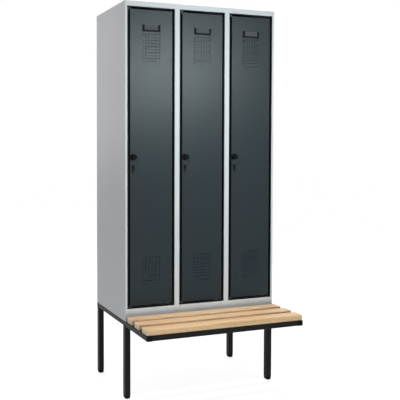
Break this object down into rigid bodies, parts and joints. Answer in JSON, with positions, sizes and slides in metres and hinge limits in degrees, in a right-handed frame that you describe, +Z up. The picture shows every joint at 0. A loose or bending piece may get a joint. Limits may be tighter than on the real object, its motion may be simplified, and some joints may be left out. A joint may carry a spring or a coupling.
{
  "type": "locker with bench",
  "caption": "Tall sheet-steel cloakroom locker with inset hinged doors, turn locks and hanging keys, on a square-tube leg frame that carries a slatted wooden bench in front.",
  "frame": {"origin": "middle of the overall box, on the floor under the feet", "axes": "+Z up, -Y the way the doors and the bench face, +X to the right seen from the front"},
  "size_m": [0.9, 0.81, 2.12],
  "materials": {
    "light_grey_paint": "fine-textured powder coat, light grey",
    "anthracite_paint": "fine-textured powder coat, anthracite",
    "black_paint": "satin powder coat, black",
    "black_plastic": "matt",
    "seal_rubber": "matt",
    "beech": "clear lacquer",
    "dark_steel": "blackened and oiled",
    "bright_steel": "zinc plated"
  },
  "bodies": {
    "carcass": {"side_panel_left": "light_grey_paint", "side_panel_right": "light_grey_paint", "partition_left": "light_grey_paint", "partition_right": "light_grey_paint", "roof_panel": "light_grey_paint", "floor_panel": "light_grey_paint", "back_panel": "light_grey_paint", "hat_shelf_1": "light_grey_paint", "hat_shelf_2": "light_grey_paint", "hat_shelf_3": "light_grey_paint", "side_rail_left": "black_paint", "side_rail_right": "black_paint", "cross_rail_rear": "black_paint", "cross_rail_middle": "black_paint", "cross_rail_front": "black_paint", "centre_bearer": "black_paint", "leg_front_left": "black_paint", "leg_front_right": "black_paint", "leg_rear_left": "black_paint", "leg_rear_right": "black_paint", "rail_sockets": "black_plastic", "hinge_bushes": "black_plastic", "foot_glides": "black_plastic", "rail_end_caps": "black_plastic", "door_seal_1": "seal_rubber", "door_seal_2": "seal_rubber", "door_seal_3": "seal_rubber", "slat_front": "beech", "slat_middle": "beech", "slat_rear": "beech", "clothes_rails": "bright_steel", "slat_screws": "bright_steel", "carcass_bolts": "bright_steel"},
    "door_1": {"door_panel_1": "anthracite_paint", "door_stiffener_1": "anthracite_paint", "label_holder_1": "anthracite_paint", "hinge_pins_1": "dark_steel", "lock_housing_1": "black_plastic"},
    "lock_1": {"lock_knob_1": "black_plastic", "lock_cam_1": "bright_steel"},
    "key_1": {"key_loop_1": "dark_steel", "key_1": "black_plastic"},
    "door_2": {"door_panel_2": "anthracite_paint", "door_stiffener_2": "anthracite_paint", "label_holder_2": "anthracite_paint", "hinge_pins_2": "dark_steel", "lock_housing_2": "black_plastic"},
    "lock_2": {"lock_knob_2": "black_plastic", "lock_cam_2": "bright_steel"},
    "key_2": {"key_loop_2": "dark_steel", "key_2": "black_plastic"},
    "door_3": {"door_panel_3": "anthracite_paint", "door_stiffener_3": "anthracite_paint", "label_holder_3": "anthracite_paint", "hinge_pins_3": "dark_steel", "lock_housing_3": "black_plastic"},
    "lock_3": {"lock_knob_3": "black_plastic", "lock_cam_3": "bright_steel"},
    "key_3": {"key_loop_3": "dark_steel", "key_3": "black_plastic"}
  },
  "joints": [
    {"name": "door_1_hinge", "type": "hinge", "parent": "carcass", "child": "door_1", "pos_m": [-0.189, -0.087, 1.2955], "axis": [0, 0, 1], "range_deg": [0, 110]},
    {"name": "lock_1_turn", "type": "hinge", "parent": "door_1", "child": "lock_1", "pos_m": [-0.405, -0.095, 1.2955], "axis": [0, 1, 0], "range_deg": [0, 90]},
    {"name": "key_1_swing", "type": "hinge", "parent": "door_1", "child": "key_1", "pos_m": [-0.405, -0.095, 1.2955], "axis": [0, 1, 0], "range_deg": [-30, 30]},
    {"name": "door_2_hinge", "type": "hinge", "parent": "carcass", "child": "door_2", "pos_m": [0.113, -0.087, 1.2955], "axis": [0, 0, 1], "range_deg": [0, 110]},
    {"name": "lock_2_turn", "type": "hinge", "parent": "door_2", "child": "lock_2", "pos_m": [-0.103, -0.095, 1.2955], "axis": [0, 1, 0], "range_deg": [0, 90]},
    {"name": "key_2_swing", "type": "hinge", "parent": "door_2", "child": "key_2", "pos_m": [-0.103, -0.095, 1.2955], "axis": [0, 1, 0], "range_deg": [-30, 30]},
    {"name": "door_3_hinge", "type": "hinge", "parent": "carcass", "child": "door_3", "pos_m": [0.415, -0.087, 1.2955], "axis": [0, 0, 1], "range_deg": [0, 110]},
    {"name": "lock_3_turn", "type": "hinge", "parent": "door_3", "child": "lock_3", "pos_m": [0.199, -0.095, 1.2955], "axis": [0, 1, 0], "range_deg": [0, 90]},
    {"name": "key_3_swing", "type": "hinge", "parent": "door_3", "child": "key_3", "pos_m": [0.199, -0.095, 1.2955], "axis": [0, 1, 0], "range_deg": [-30, 30]}
  ]
}
